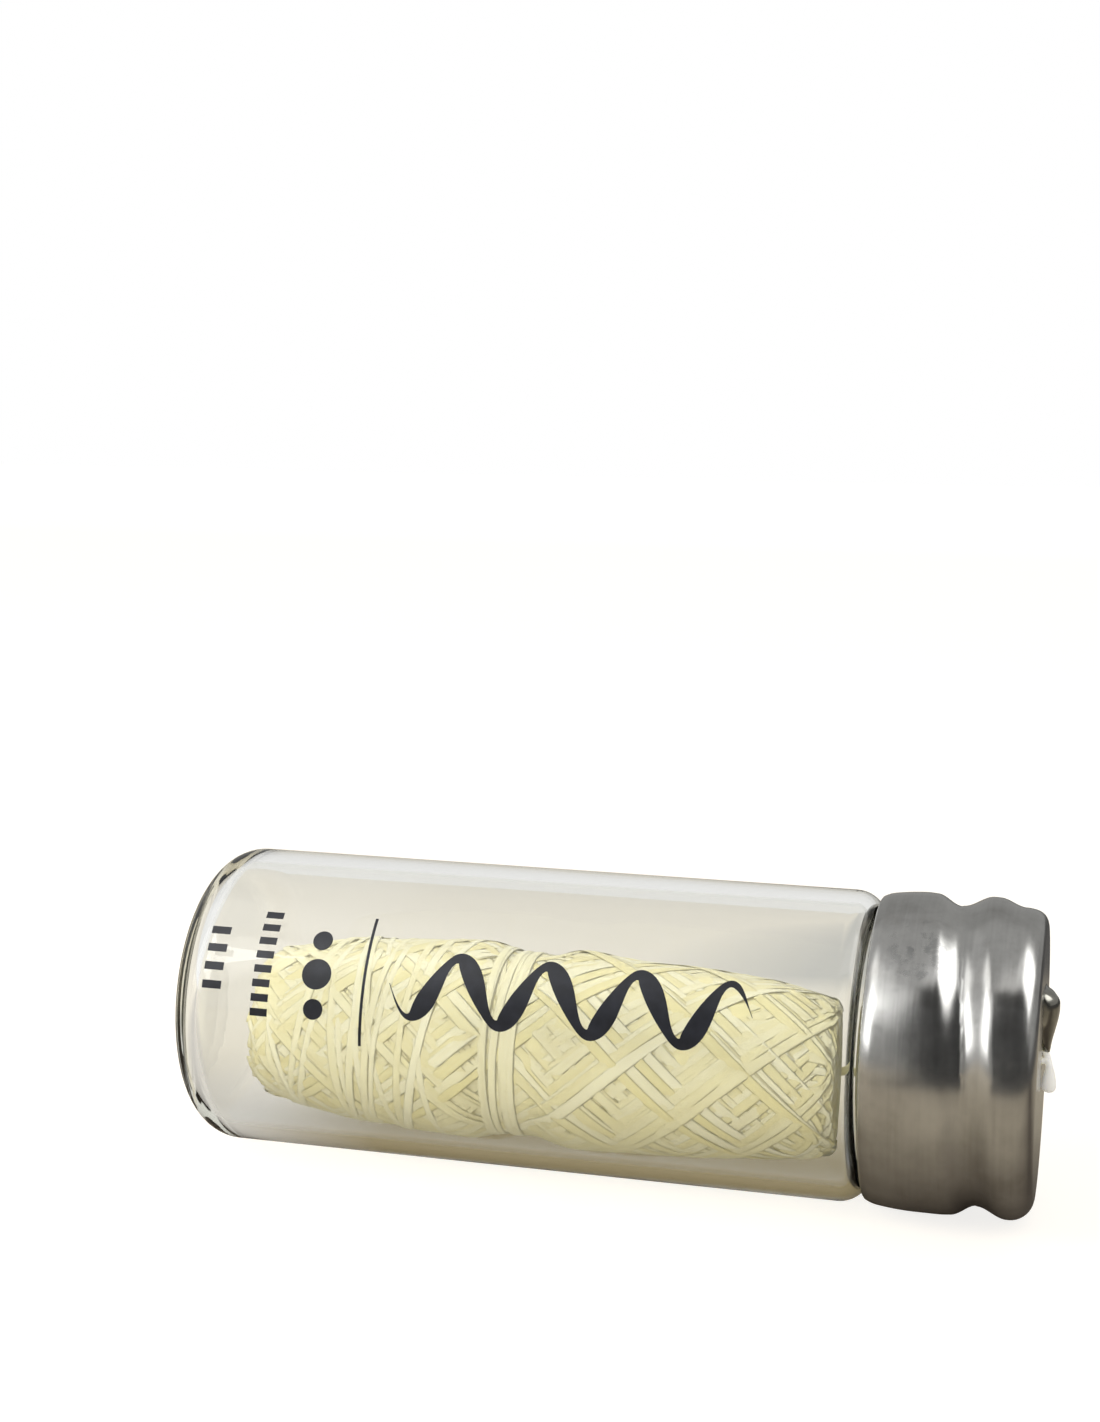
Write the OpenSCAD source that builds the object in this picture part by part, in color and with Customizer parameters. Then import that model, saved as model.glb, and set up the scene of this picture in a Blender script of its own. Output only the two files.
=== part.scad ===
// Dental floss dispenser: a glass vial that lies on its side, closed by a rolled-thread metal
// screw cap with a lanced cutter, and holding one loose cocoon of cross-wound floss.
// Each piece is drawn upright, with the vial's base at z = 0, and lay_down() turns it so that
// its axis runs along +X, +Z is up and the lowest point stands at z = 0.

/* [Glass vial] */
// Outside diameter of the vial
vial_d = 30; // [26:0.5:40]
// Length of the straight body, from the base to the start of the shoulder
body_l = 63.6; // [56:0.2:90]
// Thickness of the glass wall
wall_t = 1.3; // [1:0.1:1.5]
// Thickness of the glass base
base_t = 1.8; // [1.4:0.1:3]
// Outside radius of the corner round the base
base_corner_r = 4; // [2.5:0.5:6]
// Radius of the shoulder's outer bend
shoulder_r = 3; // [2:0.1:4]
// Radius of the hollow bend between the shoulder and the neck
neck_bend_r = 1.5; // [1:0.1:2]

/* [Screw thread] */
// Rise of the thread in one turn
pitch = 6; // [5:0.1:6.5]
// Height of the glass thread over the neck
thread_h = 1.3; // [1:0.05:1.4]
// Width of the glass thread at its root
thread_w = 2.2; // [1.6:0.1:2.4]
// Turns of the glass thread
thread_turns = 1.3; // [1:0.1:1.4]

/* [Cap] */
// How far the cap's crests stand out past the vial's side
cap_overhang = 0.25; // [0:0.05:0.8]
// Height of the cap, from its rim to its face
cap_h = 15.8; // [14:0.1:17]
// Distance from the start of the vial's shoulder to the cap's rim
rim_gap = 4.6; // [4.2:0.1:6]
// Thickness of the cap's sheet metal
sheet_t = 0.5; // [0.4:0.05:0.6]
// Radius of the corner between the skirt and the face
cap_corner_r = 1.8; // [1.2:0.1:2.2]
// Depth of the thread groove rolled into the skirt
groove_depth = 1.3; // [1:0.05:1.4]
// Width of the rolled groove
groove_w = 5; // [4:0.1:5.4]
// Room between the rolled groove and the neck that it turns on
neck_clear = 0.85; // [0.6:0.05:1.2]
// Diameter of the hole in the face that the floss comes out of
outlet_d = 1.8; // [1.4:0.1:2.4]

/* [Cap liner] */
// Room between the rolled groove and the edge of the sealing liner
liner_clear = 0.55; // [0.4:0.05:1]
// Thickness of the liner
liner_t = 1; // [0.6:0.1:1.4]

/* [Cutter] */
// Height of the cutter's root above the middle of the face
cutter_root = 7; // [6:0.1:8]
// Length of the cutter from its root to its tip
cutter_l = 6; // [5:0.1:6.2]
// Width of the cutter at its root
cutter_w = 4.4; // [3:0.1:6]
// How far the cutter stands proud of the face
cutter_proud = 1.45; // [1.2:0.05:1.8]

/* [Floss] */
// Room round the cocoon's cross winding where it goes in through the neck
mouth_clear = 0.9; // [0.8:0.1:2.6]
// Diameter of the floss
floss_d = 0.8; // [0.6:0.05:0.9]
// Free space between the vial's base and the cocoon
base_gap = 3.8; // [3.6:0.1:12]
// How far the cocoon reaches past the start of the shoulder
cocoon_past = 0.8; // [-6:0.1:1.2]

/* [Hidden] */
$fn = 96;

// Clearances, and the overrun of every cut past the face that it opens
seat_gap = 0.1;
lay_gap = 0.3;
overrun = 1;

// The cap lines up with the vial's side, and the neck, the liner and the cocoon fit inside it
vial_r = vial_d / 2;
cap_r = vial_r + cap_overhang;
groove_r = cap_r - groove_depth - sheet_t;
neck_r = groove_r - neck_clear;
liner_r = groove_r - liner_clear;
cocoon_r = neck_r - wall_t - mouth_clear;

// Places along the axis, from the outside of the base
rim_z = body_l + rim_gap;
face_z = rim_z + cap_h;
liner_z = face_z - sheet_t - seat_gap - liner_t;
lip_z = liner_z - seat_gap;
cocoon_z = base_t + base_gap;
cocoon_end_z = body_l + cocoon_past;
cocoon_l = cocoon_end_z - cocoon_z;
overall_l = face_z + cutter_proud;

// Glass outline
lip_round_r = 0.5;
arc_steps = 6;
shoulder_turn = acos(1 - (vial_r - neck_r) / (shoulder_r + neck_bend_r));

// Thread: both helices rise alike, and the glass ridge lies just above the cap's groove
groove_start = 60;
groove_full = 110;
groove_fading = 480;
groove_end = 600;
groove_rise = 4.84;
thread_step = 10;
thread_crest_w = 0.7;
thread_sink = 0.3;
thread_above = 1.8;
thread_under_lip = 1.5;

// Cap outline
cap_sides = 64;
skirt_steps = 17;
corner_steps = 4;
rim_drop = 0.75;
rim_round_h = 2.5;

// Cutter: how far down its length and how far out each point of its bend lies
cutter_bend_shares = [[0, 0], [0.05, 0.41], [0.1, 0.76], [0.205, 1], [0.4, 0.965],
                      [0.61, 0.79], [0.81, 0.6], [1, 0.48]];
// Its half width, as shares of the length and of the half width at the root
cutter_plan_shares = [[0, 1], [0.5, 1], [0.85, 0.55], [1, 0.2]];
slot_clear = 0.25;
slot_extra = 0.9;

// Cocoon: its outline, as shares of its length and of its radius
cocoon_shares = [[0, 0.6], [0.012, 0.7], [0.03, 0.76], [0.06, 0.8], [0.12, 0.875], [0.17, 0.92],
                 [0.27, 0.955], [0.4, 0.99], [0.58, 1], [0.68, 0.985], [0.78, 0.96], [0.88, 0.91],
                 [0.94, 0.86], [0.975, 0.79], [0.99, 0.73], [1, 0.62]];
waist_share = 0.473;
waist_dip = 1.15;
waist_slope_w = 5;
level_gap = 0.55;
core_gap = 0.2;
core_steps = 40;

// Winding: passes from end to end, counted from the first, and hoops round the waist
cycles = 10;
pass_turns = 1 + 1 / (2 * cycles);
first_pass = 0.05;
last_pass = 19.5;
climb_share = 0.035;
hoop_climb_share = 0.06;
hoop_turns = 3.3;
hoop_step = 1.25;
apex_share = 0.985;
end_shares = [0.03, 0.975];
loop_rings = 24;
tube_sides = 6;
measure_skip = 5;

// Strand: its way from the cocoon's end to the middle of the cap's face, as shares of both
strand_shares = [[0, 0], [0.045, 0], [0.12, 0.06], [0.3, 0.3], [0.5, 0.6], [0.7, 0.86],
                 [0.84, 0.98], [0.92, 1], [1, 1]];
strand_sides = 8;
// Tail: out of the hole, down in a small loop and up to the cutter's tip, chosen by hand as
// distances out of the face, to the side and down
tail_route = [[0, 0, 0], [0.25, 0, 0], [0.5, -0.15, 0.12], [0.72, -0.4, 0.5], [0.85, -0.55, 1.2],
              [0.9, -0.55, 2], [0.9, -0.35, 2.65], [0.9, 0.1, 2.94], [0.9, 0.55, 2.6],
              [0.92, 0.65, 1.9], [0.95, 0.65, 1], [0.97, 0.6, 0.1], [0.95, 0.5, -0.3]];

level_rise = floss_d + level_gap;
hoop_r = cocoon_r - floss_d / 2 - waist_dip + level_rise + floss_d / 2;
cocoon_drop = vial_r - wall_t - max(cocoon_r, hoop_r) - lay_gap;

// Helpers

// Turns an upright piece so that its axis runs along +X, over the surface it lies on
module lay_down()
    translate([-overall_l / 2, 0, cap_r]) rotate([0, 90, 0]) children();

function arc(centre, r, from, to) =
    [for (i = [0:arc_steps]) let (a = from + (to - from) * i / arc_steps)
        centre + r * [cos(a), sin(a)]];

function smooth(x) = let (c = min(1, max(0, x))) c * c * (3 - 2 * c);

// Joins rings of points, each counterclockwise round the way along, into one closed skin
module skin(rings) {
    sides = len(rings[0]);
    last = len(rings) - 1;
    polyhedron(
        points = [for (ring = rings) each ring],
        faces = concat(
            [[for (i = [0:sides - 1]) i]],
            [for (k = [0:last - 1], i = [0:sides - 1])
                let (a = k * sides + i, b = k * sides + (i + 1) % sides) each
                [[a, a + sides, b + sides], [a, b + sides, b]]],
            [[for (i = [sides - 1:-1:0]) last * sides + i]]));
}

function unit(v) = v / norm(v);

// Sweeps a round tube along a list of points, without a twist
module tube(points, d, sides) {
    last = len(points) - 1;
    ways = [for (i = [0:last]) unit(points[min(i + 1, last)] - points[max(i - 1, 0)])];
    start = unit(cross(ways[0], abs(ways[0].x) < 0.5 ? [1, 0, 0] : [0, 1, 0]));
    across = [for (i = 0, u = start; i <= last; i = i + 1,
                   u = i > last ? u : unit(u - (u * ways[i]) * ways[i])) u];
    skin([for (i = [0:last]) let (v = cross(ways[i], across[i]))
        [for (k = [0:sides - 1]) let (a = 360 * k / sides)
            points[i] + d / 2 * (cos(a) * across[i] + sin(a) * v)]]);
}

// Glass vial

function shoulder(outer_r, hollow_r) = concat(
    arc([vial_r - shoulder_r, body_l], outer_r, 0, shoulder_turn),
    arc([neck_r + neck_bend_r, body_l + (shoulder_r + neck_bend_r) * sin(shoulder_turn)],
        hollow_r, 180 + shoulder_turn, 180));

glass_outline = concat(
    [[0, 0]],
    arc([vial_r - base_corner_r, base_corner_r], base_corner_r, -90, 0),
    shoulder(shoulder_r, neck_bend_r),
    arc([neck_r - lip_round_r, lip_z - lip_round_r], lip_round_r, 0, 90),
    [[neck_r - wall_t, lip_z]],
    [for (i = [2 * arc_steps + 1:-1:0]) shoulder(shoulder_r - wall_t, neck_bend_r + wall_t)[i]],
    arc([vial_r - base_corner_r, base_t + base_corner_r - wall_t], base_corner_r - wall_t, 0, -90),
    [[0, base_t]]);

function groove_z(angle) = rim_z + groove_rise + pitch * angle / 360;

thread_end = (lip_z - thread_under_lip - thread_above - groove_z(0)) / pitch * 360;

// One ridge that rises round the neck and sinks into it at both ends
module glass_thread() {
    steps = round(thread_turns * 360 / thread_step);
    skin([for (i = [0:steps])
        let (angle = thread_end - (steps - i) * thread_step,
             z = groove_z(angle) + thread_above,
             rise = smooth(4 * i / steps) * smooth(4 * (steps - i) / steps),
             foot = neck_r - thread_sink,
             crest = foot + max(thread_sink / 2, rise * (thread_h + thread_sink)))
        [for (p = [[foot, -thread_w / 2], [foot, thread_w / 2],
                   [crest, thread_crest_w / 2], [crest, -thread_crest_w / 2]])
            [p.x * cos(angle), p.x * sin(angle), z + p.y]]]);
}

module glass_vial() color([0.78, 0.85, 0.83, 0.4]) lay_down() union() {
    rotate_extrude() polygon(glass_outline);
    glass_thread();
}

// Cap

function groove_strength(angle) =
    smooth((angle - groove_start) / (groove_full - groove_start))
    * (1 - smooth((angle - groove_fading) / (groove_end - groove_fading)));

// How deep the rolled groove is at a height over the rim, with both its turns added
function groove(h, angle) = groove_depth * [for (turn = [0, 1])
    let (a = angle + 360 * turn, off = 2 * (rim_z + h - groove_z(a)) / groove_w)
    abs(off) < 1 ? groove_strength(a) * (1 + cos(180 * off)) / 2 : 0] * [1, 1];

// The skirt and its corner as [radius, height over the rim], a given depth inside the sheet
function cap_line(depth) = concat(
    [for (i = [0:skirt_steps]) let (h = (cap_h - cap_corner_r) * i / skirt_steps)
        [cap_r - depth - rim_drop * pow(1 - min(1, h / rim_round_h), 2), h]],
    [for (i = [1:corner_steps]) let (a = 90 * i / corner_steps)
        [cap_r - cap_corner_r + (cap_corner_r - depth) * cos(a),
         cap_h - cap_corner_r + (cap_corner_r - depth) * sin(a)]]);

function cap_ring(p) = [for (i = [0:cap_sides - 1])
    let (a = 360 * i / cap_sides, r = p.x - groove(p.y, a))
    [r * cos(a), r * sin(a), rim_z + p.y]];

module cap_cup() {
    outside = cap_line(0);
    inside = cap_line(sheet_t);
    skin(concat([for (i = [len(inside) - 1:-1:0]) cap_ring(inside[i])],
                [for (p = outside) cap_ring(p)]));
}

// Outline of the cutter, or of the slot that it leaves, root at the origin and pointing along +X
module cutter_plan(l, extra_w)
    polygon([for (side = [1, -1])
        let (n = len(cutter_plan_shares) - 1)
        for (i = [0:n]) let (p = cutter_plan_shares[side > 0 ? i : n - i])
            [p.x * l, side * (p.y * cutter_w / 2 + extra_w)]]);

module cap_shell() color("silver") lay_down() difference() {
    cap_cup();
    translate([0, 0, face_z - sheet_t - overrun])
        cylinder(d = outlet_d, h = sheet_t + 2 * overrun);
    translate([-cutter_root, 0, face_z - sheet_t - overrun])
        linear_extrude(sheet_t + 2 * overrun) cutter_plan(cutter_l + slot_extra, slot_clear);
}

// The tongue bent out of the face: its side view crossed with its plan
module floss_cutter() color("dimgray") lay_down() intersection() {
    last = len(cutter_bend_shares) - 1;
    bend = [for (p = cutter_bend_shares) [p.x * cutter_l, p.y * cutter_proud - sheet_t / 2]];
    normals = [for (i = [0:last])
        let (v = i == 0 ? [1, 0] : bend[min(i + 1, last)] - bend[i - 1])
        [-v.y, v.x] / norm(v)];
    translate([-cutter_root, cutter_w / 2, face_z]) rotate([90, 0, 0])
        linear_extrude(cutter_w)
            polygon(concat([for (i = [0:last]) bend[i] + normals[i] * sheet_t / 2],
                           [for (i = [last:-1:0]) bend[i] - normals[i] * sheet_t / 2]));
    translate([-cutter_root, 0, face_z - sheet_t - overrun])
        linear_extrude(sheet_t + cutter_proud + 2 * overrun) cutter_plan(cutter_l, 0);
}

module cap_liner() color("whitesmoke") lay_down() difference() {
    translate([0, 0, liner_z]) cylinder(r = liner_r, h = liner_t);
    translate([0, 0, liner_z - overrun]) cylinder(d = outlet_d, h = liner_t + 2 * overrun);
}

// Floss

hoops_half_w = hoop_turns * hoop_step / 2;

// Radius of the cross winding, which is drawn in where the hoops go round the waist
function cocoon_at(share) =
    let (off = abs(share - waist_share) * cocoon_l - hoops_half_w)
    cocoon_r * lookup(share, cocoon_shares) - waist_dip * smooth(1 - off / waist_slope_w);

// Lays a piece of the cocoon on the lower wall of the vial
module in_vial() translate([cocoon_drop, 0, cocoon_z]) children();

// The wound mass under the outer layer
module floss_core() color("khaki") lay_down() in_vial()
    rotate_extrude() polygon(concat([[0, 0]],
        [for (i = [0:core_steps]) let (share = i / core_steps)
            [cocoon_at(share) - floss_d - level_rise - core_gap, share * cocoon_l]],
        [[0, cocoon_l]]));

// Place along the cocoon after so many passes: to and fro, with a rounded turn at each end
function lay_share(pass) = let (way = asin(apex_share * sin(180 * (pass - 0.5))) / asin(apex_share))
    end_shares[0] + (end_shares[1] - end_shares[0]) * (1 + way) / 2;

// Passes to the right lie low and passes to the left lie high, and the hoops lie over both
function level(pass) =
    (1 - max(-1, min(1, sin(180 * pass) / sin(180 * climb_share)))) / 2
    + smooth((pass - last_pass + hoop_climb_share) / hoop_climb_share);

function floss_point(pass) =
    let (hoops = max(0, pass - last_pass) * pass_turns,
         share = lay_share(min(pass, last_pass)) - hoops * hoop_step / cocoon_l,
         high = hoops > 0 ? 2 : level(pass),
         r = cocoon_at(share) - floss_d / 2 + (high - 1) * level_rise,
         a = 360 * pass_turns * pass)
    [r * cos(a), r * sin(a), share * cocoon_l];

wound_passes = last_pass + hoop_turns / pass_turns;
wound_loops = (wound_passes - first_pass) * pass_turns;

function floss_points(rings) = let (n = floor(wound_loops * rings))
    [for (i = [0:n]) floss_point(first_pass + (wound_passes - first_pass) * i / n)];

// Least distance between stretches of the winding that are over a sixth of a loop apart
function least_gap(points, skip) = min([for (i = [0:len(points) - skip - 1])
    min([for (j = [i + skip:len(points) - 1]) norm(points[i] - points[j])])]) - floss_d;

module floss_winding() color("palegoldenrod") {
    echo(loops = wound_loops, least_gap = least_gap(floss_points(2 * loop_rings), 2 * measure_skip));
    lay_down() in_vial() tube(floss_points(loop_rings), floss_d, tube_sides);
}

// From the end of the cocoon up to the middle of the cap's face
module floss_strand() color("lemonchiffon") lay_down()
    tube([for (p = strand_shares)
        [cocoon_drop * (1 - p.y), 0, cocoon_end_z + p.x * (face_z - cocoon_end_z)]],
        floss_d, strand_sides);

module floss_tail() color("ivory") lay_down()
    tube([for (p = tail_route) [p.z, p.y, face_z + p.x]], floss_d, strand_sides);

glass_vial();
cap_shell();
floss_cutter();
cap_liner();
floss_core();
floss_winding();
floss_strand();
floss_tail();
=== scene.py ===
"""Looks of a dental floss dispenser: a glass vial that lies on its side, closed by a rolled-thread
metal screw cap with a lanced cutter, and holding one loose cocoon of cross-wound waxed floss."""

import math

import bmesh
import bpy
import numpy as np
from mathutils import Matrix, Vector


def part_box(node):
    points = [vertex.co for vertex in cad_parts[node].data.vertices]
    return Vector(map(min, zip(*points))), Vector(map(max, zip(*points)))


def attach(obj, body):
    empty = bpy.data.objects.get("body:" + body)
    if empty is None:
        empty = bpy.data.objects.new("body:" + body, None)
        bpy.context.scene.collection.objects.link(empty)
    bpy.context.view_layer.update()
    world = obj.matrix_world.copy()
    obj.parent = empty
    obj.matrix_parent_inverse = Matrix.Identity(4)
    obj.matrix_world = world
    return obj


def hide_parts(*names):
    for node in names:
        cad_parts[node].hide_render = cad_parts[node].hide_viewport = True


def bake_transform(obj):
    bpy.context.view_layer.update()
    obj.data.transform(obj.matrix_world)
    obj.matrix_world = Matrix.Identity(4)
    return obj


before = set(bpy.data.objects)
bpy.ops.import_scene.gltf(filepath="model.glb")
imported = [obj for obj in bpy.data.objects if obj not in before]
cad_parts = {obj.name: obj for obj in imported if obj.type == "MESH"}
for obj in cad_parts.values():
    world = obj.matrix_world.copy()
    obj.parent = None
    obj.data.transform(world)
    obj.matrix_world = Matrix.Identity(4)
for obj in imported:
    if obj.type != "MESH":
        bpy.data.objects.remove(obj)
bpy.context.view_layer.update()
scene = bpy.context.scene
scene.view_settings.view_transform = "Standard"
scene.cycles.max_bounces = 20
scene.cycles.glossy_bounces = 12
scene.cycles.transmission_bounces = 20
rng = np.random.default_rng(11)

MM = 0.001
VIAL_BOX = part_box("glass_vial")
BASE_X = VIAL_BOX[0].x
AXIS_Z = (VIAL_BOX[0].z + VIAL_BOX[1].z) / 2

# Sizes in millimetres. They are those of the part's own source, but for the vial's shoulder, the
# cap's corner, rim and groove, and the cocoon's length, waist and outline, which follow the
# photograph more closely here.
VIAL_R, WALL, BASE_T, BASE_CORNER = 15, 1.3, 1.8, 4
BODY_L, SHOULDER_R, NECK_BEND, NECK_R = 65.6, 3, 1.5, 12.6
LIP_Z, LIP_ROUND, LIP_INNER_ROUND = 82.3, 0.5, 0.35
PITCH, THREAD_H, THREAD_W, THREAD_CREST = 6, 1.3, 2.2, 0.7
THREAD_TURNS, THREAD_ABOVE, THREAD_UNDER_LIP = 1.3, 1.8, 1.5
CAP_R, CAP_H, SHEET, CAP_CORNER, RIM_Z = 15.25, 15.8, 0.5, 2.2, 68.2
FACE_Z = RIM_Z + CAP_H
GROOVE_DEPTH, GROOVE_W, GROOVE_RISE = 1.08, 5, 4.84
CUTTER_ROOT, CUTTER_L, CUTTER_W, CUTTER_PROUD = 7, 6, 4.4, 1.45
COCOON_Z, COCOON_L, COCOON_R, COCOON_DROP = 5.6, 59.7, 10.4, 2.8


def place(z, r, angle, drop=0):
    """World points from millimetres along the axis, off the axis, and degrees round it: 0 is down,
    90 away from the camera, 180 up and 270 towards the camera."""
    a = np.radians(angle)
    z, x, y = np.broadcast_arrays(z, r * np.cos(a) + drop, r * np.sin(a))
    return np.stack([BASE_X + z * MM, y * MM, AXIS_Z - x * MM], -1)


def smooth(x):
    """0 below 0, 1 above 1, and a soft step between them."""
    c = np.clip(x, 0, 1)
    return c * c * (3 - 2 * c)


def spline(points, n):
    """A smooth line through the points, evenly stepped."""
    p = np.asarray(points, float)
    p = np.vstack([2 * p[0] - p[1], p, 2 * p[-1] - p[-2]])
    t = np.linspace(0, len(p) - 3 - 1e-9, n * 4)
    k, f = t.astype(int), (t % 1)[:, None]
    a, b, c, d = p[k], p[k + 1], p[k + 2], p[k + 3]
    line = 0.5 * (2 * b + (c - a) * f + (2 * a - 5 * b + 4 * c - d) * f**2
                  + (3 * b - a - 3 * c + d) * f**3)
    way = np.concatenate([[0], np.cumsum(np.linalg.norm(np.diff(line, axis=0), axis=1))])
    even = np.linspace(0, way[-1], n)
    return np.stack([np.interp(even, way, line[:, i]) for i in range(p.shape[1])], 1)


# Camera, at the photograph's viewing angle

camera = bpy.data.objects.new("camera", bpy.data.cameras.new("camera"))
scene.collection.objects.link(camera)
scene.camera = camera
camera.data.lens = 55.374
camera.data.sensor_width = 36
camera.data.clip_start = 0.01
camera.location = (0.04767, -0.207907, 0.07312)
camera.rotation_euler = [math.radians(a) for a in (82.9151, -0.9924, 15.0542)]


# Meshes

def new_mesh(name, verts, faces, soft=True):
    """A new object in the scene from its vertices and faces."""
    mesh = bpy.data.meshes.new(name)
    mesh.from_pydata(np.asarray(verts).tolist(), [], [list(map(int, f)) for f in faces])
    mesh.polygons.foreach_set("use_smooth", [soft] * len(mesh.polygons))
    mesh.update()
    obj = bpy.data.objects.new(name, mesh)
    scene.collection.objects.link(obj)
    return obj


def ring_faces(rows, sides, start=0, cap_ends=False):
    """Faces of a tube whose rings of vertices follow each other, from the start vertex on."""
    k, i = np.meshgrid(np.arange(rows - 1), np.arange(sides), indexing="ij")
    a, b = k * sides + i, k * sides + (i + 1) % sides
    quads = np.stack([a, b, b + sides, a + sides], -1).reshape(-1, 4) + start
    faces = quads.tolist()
    if cap_ends:
        faces += [[start + i for i in range(sides)][::-1],
                  [start + (rows - 1) * sides + i for i in range(sides)]]
    return faces


def outward(obj):
    """Turns every face of a piece outwards."""
    bm = bmesh.new()
    bm.from_mesh(obj.data)
    bmesh.ops.recalc_face_normals(bm, faces=bm.faces)
    bm.to_mesh(obj.data)
    bm.free()
    return obj


def lathe(name, zs, rs, sides, ridge=None, drop=0):
    """A closed turned body: zs and rs run from the axis out and back to the axis, and ridge adds
    to the radius."""
    angle = np.arange(sides) * 360 / sides
    z, r = np.asarray(zs, float)[1:-1, None], np.asarray(rs, float)[1:-1, None]
    if ridge is not None:
        r = r + ridge(z, r, angle[None])
    rings = place(z, np.broadcast_to(r, (len(z), sides)), angle[None], drop)
    ends = place(np.array([zs[0], zs[-1]]), 0, 0, drop)
    verts = np.vstack([rings.reshape(-1, 3), ends])
    faces = ring_faces(len(z), sides)
    n, last = len(rings) * sides, (len(rings) - 1) * sides
    for i in range(sides):
        faces.append([i, (i + 1) % sides, n])
        faces.append([last + (i + 1) % sides, last + i, n + 1])
    return outward(new_mesh(name, verts, faces))


def arc(z, r, radius, start, end, n=10):
    """Rows of [z, r] along an arc round a centre: 0 degrees points away from the axis, and 90
    along it towards the cap's face."""
    a = np.radians(np.linspace(start, end, n + 1))
    return np.stack([z + radius * np.sin(a), r + radius * np.cos(a)], 1)


# Shader nodes

def shader_tree(name):
    """A new material, its node tree and its Principled shader."""
    mat = bpy.data.materials.new(name)
    mat.use_nodes = True
    tree = mat.node_tree
    return mat, tree, tree.nodes["Principled BSDF"]


def node(tree, kind, inputs=(), **settings):
    """A new node, its inputs linked where they are sockets and set where they are values."""
    made = tree.nodes.new("ShaderNode" + kind)
    for key, value in settings.items():
        setattr(made, key, value)
    for key, value in dict(inputs).items():
        if isinstance(value, bpy.types.NodeSocket):
            tree.links.new(value, made.inputs[key])
        else:
            made.inputs[key].default_value = value
    return made


def maths(tree, kind, a, b=0):
    return node(tree, "Math", {0: a, 1: b}, operation=kind).outputs[0]


def vector(tree, kind, a, b=(0, 0, 0)):
    made = node(tree, "VectorMath", {0: a, 1: b}, operation=kind)
    return made.outputs["Value" if kind == "LENGTH" else "Vector"]


def spread(tree, value, low, high, lo=0.0, hi=1.0, kind="LINEAR"):
    """Takes a value from between lo and hi to between low and high."""
    return node(tree, "MapRange", {"Value": value, "From Min": lo, "From Max": hi,
                                   "To Min": low, "To Max": high},
                interpolation_type=kind).outputs[0]


def mix(tree, share, first, second):
    """The first colour with a share of the second one."""
    colors = [c if isinstance(c, bpy.types.NodeSocket) else (*c, 1) for c in (first, second)]
    return node(tree, "Mix", {0: share, 6: colors[0], 7: colors[1]}, data_type="RGBA").outputs[2]


def ramp(tree, fac, stops):
    """A colour ramp through stops of (place, colour)."""
    made = node(tree, "ValToRGB", {"Fac": fac})
    elements = made.color_ramp.elements
    while len(elements) < len(stops):
        elements.new(0.5)
    for element, (at, color) in zip(elements, stops):
        element.position = at
        element.color = (*color, 1)
    return made.outputs["Color"]


def object_place(tree):
    return node(tree, "TexCoord").outputs["Object"]


def noise(tree, scale, detail=2.0, stretch=(1, 1, 1), rough=0.5):
    spot = node(tree, "Mapping", {"Vector": object_place(tree), "Scale": stretch}).outputs[0]
    return node(tree, "TexNoise", {"Vector": spot, "Scale": scale, "Detail": detail,
                                   "Roughness": rough}).outputs["Fac"]


def bump(tree, bsdf, height, strength, distance, normal=None):
    made = node(tree, "Bump", {"Height": height, "Strength": strength, "Distance": distance})
    if normal is not None:
        tree.links.new(normal, made.inputs["Normal"])
    tree.links.new(made.outputs[0], bsdf.inputs["Normal"])


# Glass vial, with its moulded thread

SHOULDER_TURN = math.degrees(math.acos(1 - (VIAL_R - NECK_R) / (SHOULDER_R + NECK_BEND)))
NECK_Z = BODY_L + (SHOULDER_R + NECK_BEND) * math.sin(math.radians(SHOULDER_TURN))
THREAD_END = (LIP_Z - THREAD_UNDER_LIP - THREAD_ABOVE - RIM_Z - GROOVE_RISE) / PITCH * 360
THREAD_START = THREAD_END - THREAD_TURNS * 360
BASE_RINGS, BASE_RING_LAST, NECK_STEP = [0, 4, 8], 10.4, 0.28


def glass_material():
    """Clear glass, a little tinted by its depth, that casts only a light straight shadow."""
    mat, tree, bsdf = shader_tree("glass")
    bsdf.inputs["Base Color"].default_value = (0.91, 0.915, 0.905, 1)
    bsdf.inputs["Roughness"].default_value = 0.0
    bsdf.inputs["IOR"].default_value = 1.47
    bsdf.inputs["Transmission Weight"].default_value = 1.0
    bump(tree, bsdf, noise(tree, 90, 1.0, (0.25, 1, 1)), 0.05, 0.0008)
    clear = node(tree, "BsdfTransparent", {"Color": (0.9, 0.91, 0.9, 1)})
    either = node(tree, "MixShader", {0: node(tree, "LightPath").outputs["Is Shadow Ray"],
                                      1: bsdf.outputs[0], 2: clear.outputs[0]})
    output = tree.nodes["Material Output"]
    tree.links.new(either.outputs[0], output.inputs["Surface"])
    tint = node(tree, "VolumeAbsorption", {"Color": (0.6, 0.6, 0.45, 1), "Density": 22.0})
    tree.links.new(tint.outputs[0], output.inputs["Volume"])
    return mat


def shoulder(outer, hollow):
    """The shoulder from the body to the neck as rows of [z, r]."""
    top = arc(BODY_L, VIAL_R - SHOULDER_R, outer, 0, SHOULDER_TURN)
    foot = arc(NECK_Z, NECK_R + NECK_BEND, hollow, 180 + SHOULDER_TURN, 180)
    return np.vstack([top, foot])


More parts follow.
